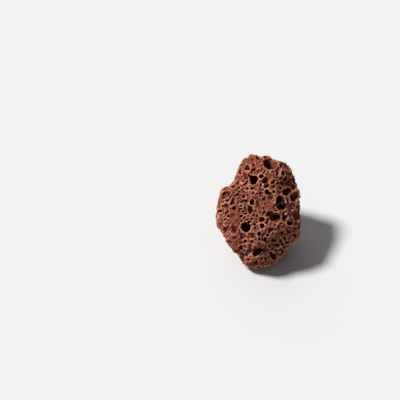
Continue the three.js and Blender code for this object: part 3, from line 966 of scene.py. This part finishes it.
def broken_field(shape):
    """The stone with all its bubbles, worn and cut off at the floor, and the depth under its skin."""
    field, skin = bare_field(shape)
    rounding = shape.rim_round / MM
    mouths = on_face(*np.array([row[:2] for row in LARGE_FACE_BUBBLES]).T)
    found = face_bubbles(LARGE_FACE_BUBBLES, mouths, outward(mouths))
    placed = carved(field, scattered_bubbles(found), rounding)
    mouths = seen_from_face(field, *np.array([row[:2] for row in SMALL_FACE_BUBBLES]).T)
    outs = field.slope(mouths) @ face_axes().T
    placed += carved(field, face_bubbles(SMALL_FACE_BUBBLES, to_face(mouths), outs), rounding)
    rng = np.random.default_rng(STREWN_SEED)
    for *row, strewn_rounding in STREWN:
        for bubble in strewn_bubbles(field, skin, row, placed, rng):
            field.carve(bubble, strewn_rounding)
    field.wear()
    field.value = np.minimum(field.value, field.lines[2])
    return field, skin


def stone_mesh(shape):
    """The broken field's zero surface as a mesh in metres.

    Its attributes give each point's depth under the skin, and the share of rock around it, which is
    half on a flat, more in a hollow and less on a rim.
    """
    field, skin = broken_field(shape)
    points, crossed = surface_points(field, field.value)
    quads = largest_piece(len(points), surface_quads(field.value, crossed))
    used, quads = np.unique(quads, return_inverse=True)
    points, quads = points[used], quads.reshape(-1, 4)
    mesh = bpy.data.meshes.new("stone_rock")
    mesh.vertices.add(len(points))
    mesh.vertices.foreach_set("co", (points * MM).astype(np.float32).ravel())
    mesh.loops.add(quads.size)
    mesh.loops.foreach_set("vertex_index", quads.astype(np.int32).ravel())
    mesh.polygons.add(len(quads))
    mesh.polygons.foreach_set("loop_start", np.arange(0, quads.size, 4, dtype=np.int32))
    mesh.update(calc_edges=True)
    mesh.validate()
    readings = [(name, field.rock_share(reach)) for name, reach in ROCK_SHARES]
    for name, values in (*readings, ("skin_depth", skin)):
        attribute = mesh.attributes.new(name, "FLOAT", "POINT")
        attribute.data.foreach_set("value", field.sample(values, points).astype(np.float32))
    mesh.polygons.foreach_set("use_smooth", np.ones(len(mesh.polygons), bool))
    return mesh


def thin_out(stone, most_triangles):
    """Thins an object's mesh to a number of triangles, and keeps the result."""
    stone.data.calc_loop_triangles()
    triangles = len(stone.data.loop_triangles)
    if triangles > most_triangles:
        thin = stone.modifiers.new("thin", "DECIMATE")
        thin.ratio = most_triangles / triangles
        depsgraph = bpy.context.evaluated_depsgraph_get()
        fresh = bpy.data.meshes.new_from_object(stone.evaluated_get(depsgraph))
        stone.modifiers.clear()
        stone.data = fresh


# ---------------------------------------------------------------- finishes


class Nodes:
    """Short ways to add linked nodes to a material."""

    def __init__(self, name):
        self.material = bpy.data.materials.new(name)
        self.material.use_nodes = True
        self.tree = self.material.node_tree
        self.shader = self.tree.nodes["Principled BSDF"]

    def add(self, kind, inputs=None, **settings):
        node = self.tree.nodes.new(kind)
        for name, value in settings.items():
            setattr(node, name, value)
        for name, value in (inputs or {}).items():
            self.join(value, node.inputs[name])
        return node

    def join(self, value, socket):
        if isinstance(value, bpy.types.NodeSocket):
            self.tree.links.new(value, socket)
        else:
            socket.default_value = value

    def ramp(self, value, low, high):
        """0 at low, 1 at high, and a smooth step in between. Low may be the greater."""
        inputs = {"Value": value, "From Min": low, "From Max": high}
        node = self.add("ShaderNodeMapRange", inputs, interpolation_type="SMOOTHSTEP")
        return node.outputs["Result"]

    def reckon(self, operation, a, b):
        return self.add("ShaderNodeMath", {0: a, 1: b}, operation=operation).outputs[0]

    def times(self, a, b):
        return self.reckon("MULTIPLY", a, b)

    def most(self, a, b):
        return self.reckon("MAXIMUM", a, b)

    def plus(self, a, b):
        return self.reckon("ADD", a, b)

    def mix(self, share, a, b):
        """Colour a, or b where the share is 1. The node's colours are its sockets 6, 7 and 2."""
        return self.add("ShaderNodeMix", {0: share, 6: a, 7: b}, data_type="RGBA").outputs[2]

    def attribute(self, name):
        return self.add("ShaderNodeAttribute", attribute_name=name).outputs["Fac"]


def scoria(finish):
    """Rough porous rock: clouds of two reds, grains, and pale rims with paler patches, which are
    partly wear and a dusted tone and partly painted highlight; painted shade darkens the dents, the
    places deep under the skin, and the holes nearly to black.

    The share of rock around a point tells rims from hollows, and noise in object coordinates, with
    its cell in millimetres, breaks them up.
    """
    nodes = Nodes("scoria")
    place = nodes.add("ShaderNodeTexCoord").outputs["Object"]
    names = ("rock", "dark_rock_and_shade", "rim", "dust_and_highlight", "hole_shade_and_specks")
    rock, dark_rock_and_shade, rim, dust_and_highlight, hole_shade_and_specks = [(*getattr(finish, name), 1) for name in names]

    def noise(cell, detail=4.0, rough=0.7):
        inputs = {"Vector": place, "Scale": 1 / (cell * MM), "Detail": detail, "Roughness": rough}
        return nodes.add("ShaderNodeTexNoise", inputs).outputs["Fac"]

    def cells(cell):
        inputs = {"Vector": place, "Scale": 1 / (cell * MM), "Randomness": 1.0}
        return nodes.add("ShaderNodeTexVoronoi", inputs, feature="F1").outputs["Distance"]

    near = nodes.attribute("near_rock")
    mid = nodes.attribute("mid_rock")
    wide = nodes.attribute("wide_rock")
    depth = nodes.attribute("skin_depth")
    clouds = nodes.times(nodes.ramp(noise(8.0, 3.0, 0.55), 0.3, 0.7), 0.5)
    grains = nodes.times(nodes.ramp(noise(0.6, 4.0, 0.75), 0.42, 0.62), 0.45)
    specks = nodes.times(nodes.ramp(noise(0.45, 4.0, 0.75), 0.47, 0.33), 0.8)
    # Painted shade: where much rock lies around a point, in dents and in the corners between rims,
    # the colour is darkened.
    crease_shade = nodes.ramp(nodes.most(near, mid), 0.49, 0.58)
    # Painted shade: the deeper a point lies under the unbroken skin, the more it is painted towards
    # the darker rock.
    inside = nodes.times(nodes.ramp(depth, 0.8, 3.5), 0.7)
    # Rims: where little rock lies around a point, on the sharp ridges, the colour goes pale in noisy
    # patches, partly as wear and partly as painted highlight.
    rims = nodes.ramp(nodes.plus(mid, near), 0.84, 0.56)
    worn_and_lit_rims = nodes.times(rims, nodes.ramp(noise(0.9), 0.32, 0.5))
    # Paler patches on the sharpest rims: partly a dusted tone and partly painted highlight.
    dust_and_highlight_patches = nodes.times(worn_and_lit_rims, nodes.ramp(noise(1.3), 0.5, 0.6))
    # Painted shade: where most of the space around a point is rock, deep in a hole, the colour goes
    # nearly black.
    holes = nodes.most(nodes.ramp(wide, 0.58, 0.7), nodes.ramp(mid, 0.57, 0.7))
    # The clouds are the rock's own darker tone; the crease and depth masks add painted shade in the
    # same colour.
    base = nodes.mix(nodes.most(clouds, nodes.most(crease_shade, inside)), rock, dark_rock_and_shade)
    base = nodes.mix(grains, base, rim)
    base = nodes.mix(nodes.times(holes, 0.9), base, hole_shade_and_specks)
    base = nodes.mix(nodes.times(worn_and_lit_rims, 0.9), base, rim)
    base = nodes.mix(nodes.times(dust_and_highlight_patches, 0.8), base, dust_and_highlight)
    base = nodes.mix(specks, base, hole_shade_and_specks)
    nodes.join(base, nodes.shader.inputs["Base Color"])
    nodes.shader.inputs["Roughness"].default_value = 0.9
    nodes.shader.inputs["Specular IOR Level"].default_value = 0.06
    pits = nodes.ramp(cells(0.9), 0.15, 0.4)
    height = nodes.plus(nodes.times(pits, 0.6), noise(0.35, 4.0, 0.65))
    bump = nodes.add("ShaderNodeBump", {"Height": height, "Strength": 0.8, "Distance": 0.3 * MM})
    nodes.join(bump.outputs["Normal"], nodes.shader.inputs["Normal"])
    return nodes.material


def floor_paint(colour):
    """Matt paint of one colour."""
    nodes = Nodes("floor_paint")
    nodes.shader.inputs["Base Color"].default_value = (*colour, 1)
    nodes.shader.inputs["Roughness"].default_value = 0.9
    nodes.shader.inputs["Specular IOR Level"].default_value = 0.1
    return nodes.material


# ---------------------------------------------------------------- operators


class LAVASTONE_OT_stone(bpy.types.Operator):
    """Makes the stone's fine surface in place of the plain solid"""

    bl_idname = "lavastone.stone"
    bl_label = "Make the stone"

    def execute(self, context):
        scene = context.scene
        stone = bpy.data.objects.new("scoria_lump", stone_mesh(scene.lavastone_shape))
        scene.collection.objects.link(stone)
        thin_out(stone, scene.lavastone_shape.most_triangles)
        stone.data.materials.clear()
        stone.data.materials.append(scoria(scene.lavastone_finish))
        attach(stone, "root")
        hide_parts(NODE)
        return {"FINISHED"}


class LAVASTONE_OT_stage(bpy.types.Operator):
    """Makes the pale floor, the soft lights and the camera"""

    bl_idname = "lavastone.stage"
    bl_label = "Make the stage"

    def execute(self, context):
        scene = context.scene
        stage = scene.lavastone_stage
        self.floor(scene, stage)
        self.lights(scene, stage)
        self.camera(scene, stage)
        return {"FINISHED"}

    def floor(self, scene, stage):
        """A disc, flat and then rising with the square of the distance, so that no far edge shows."""
        rings = np.concatenate([[FLOOR_MIDDLE], np.linspace(FLOOR_FLAT, FLOOR_REACH, FLOOR_RINGS)])
        heights = FLOOR_SWEEP * ((rings - FLOOR_FLAT).clip(0) / (FLOOR_REACH - FLOOR_FLAT)) ** 2
        turns = np.linspace(0, 2 * math.pi, FLOOR_TURNS, endpoint=False)
        x, y = rings[:, None] * np.cos(turns), rings[:, None] * np.sin(turns)
        spots = np.stack(np.broadcast_arrays(x, y, heights[:, None]), -1)
        ring, turn = np.divmod(np.arange(FLOOR_RINGS * FLOOR_TURNS), FLOOR_TURNS)
        here = ring * FLOOR_TURNS + turn
        beside = ring * FLOOR_TURNS + (turn + 1) % FLOOR_TURNS
        faces = np.stack([here, here + FLOOR_TURNS, beside + FLOOR_TURNS, beside], 1)
        middle = list(range(FLOOR_TURNS))
        mesh = bpy.data.meshes.new("floor")
        mesh.from_pydata(spots.reshape(-1, 3).tolist(), [], [middle, *faces.tolist()])
        mesh.shade_smooth()
        mesh.materials.append(floor_paint(stage.floor))
        floor = bpy.data.objects.new("floor", mesh)
        scene.collection.objects.link(floor)

    def lights(self, scene, stage):
        """Even white light from all round, and the lamps."""
        world = bpy.data.worlds.new("room")
        world.use_nodes = True
        background = world.node_tree.nodes["Background"]
        background.inputs["Color"].default_value = (1, 1, 1, 1)
        background.inputs["Strength"].default_value = stage.sky
        scene.world = world
        for name, towards, wide, share in LAMPS:
            light = bpy.data.lights.new(name, "SUN")
            light.angle = math.radians(wide)
            light.energy = stage.key_power * share
            lamp = bpy.data.objects.new(name, light)
            lamp.rotation_euler = Vector(towards).to_track_quat("Z", "Y").to_euler()
            scene.collection.objects.link(lamp)

    def camera(self, scene, stage):
        """Looks straight at the broad face, with the stone's middle off the picture's middle."""
        across, up, out = (Vector(row) for row in face_axes())
        aim = Vector(MIDDLE) * MM - across * AIM_LEFT * MM + up * AIM_UP * MM
        data = bpy.data.cameras.new("camera")
        data.lens = stage.lens
        data.clip_start = 0.01
        camera = bpy.data.objects.new("camera", data)
        camera.location = aim + out * stage.camera_distance
        camera.rotation_euler = (math.pi / 2 - math.radians(FACE_ELEVATION), 0, 0)
        scene.collection.objects.link(camera)
        scene.camera = camera
        scene.view_settings.view_transform = "Standard"


class LAVASTONE_PT_panel(bpy.types.Panel):
    """Lists the stone's sizes, its colours and its stage"""

    bl_label = "Lava cooking stone"
    bl_idname = "LAVASTONE_PT_panel"
    bl_space_type = "VIEW_3D"
    bl_region_type = "UI"
    bl_category = "Lava stone"

    def draw(self, context):
        scene = context.scene
        groups = (
            (scene.lavastone_shape, LAVASTONE_OT_stone),
            (scene.lavastone_finish, None),
            (scene.lavastone_stage, LAVASTONE_OT_stage),
        )
        for group, operator in groups:
            box = self.layout.box()
            for name in group.bl_rna.properties.keys():
                if name not in ("rna_type", "name"):
                    box.prop(group, name)
            if operator:
                box.operator(operator.bl_idname)


CLASSES = (
    LavaStoneShape,
    LavaStoneFinish,
    LavaStoneStage,
    LAVASTONE_OT_stone,
    LAVASTONE_OT_stage,
    LAVASTONE_PT_panel,
)


def register():
    for cls in CLASSES:
        bpy.utils.register_class(cls)
    bpy.types.Scene.lavastone_shape = bpy.props.PointerProperty(type=LavaStoneShape)
    bpy.types.Scene.lavastone_finish = bpy.props.PointerProperty(type=LavaStoneFinish)
    bpy.types.Scene.lavastone_stage = bpy.props.PointerProperty(type=LavaStoneStage)


def unregister():
    del bpy.types.Scene.lavastone_stage
    del bpy.types.Scene.lavastone_finish
    del bpy.types.Scene.lavastone_shape
    for cls in reversed(CLASSES):
        bpy.utils.unregister_class(cls)


def main():
    register()
    bpy.ops.lavastone.stone()
    bpy.ops.lavastone.stage()
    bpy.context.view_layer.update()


if __name__ == "__main__":
    main()
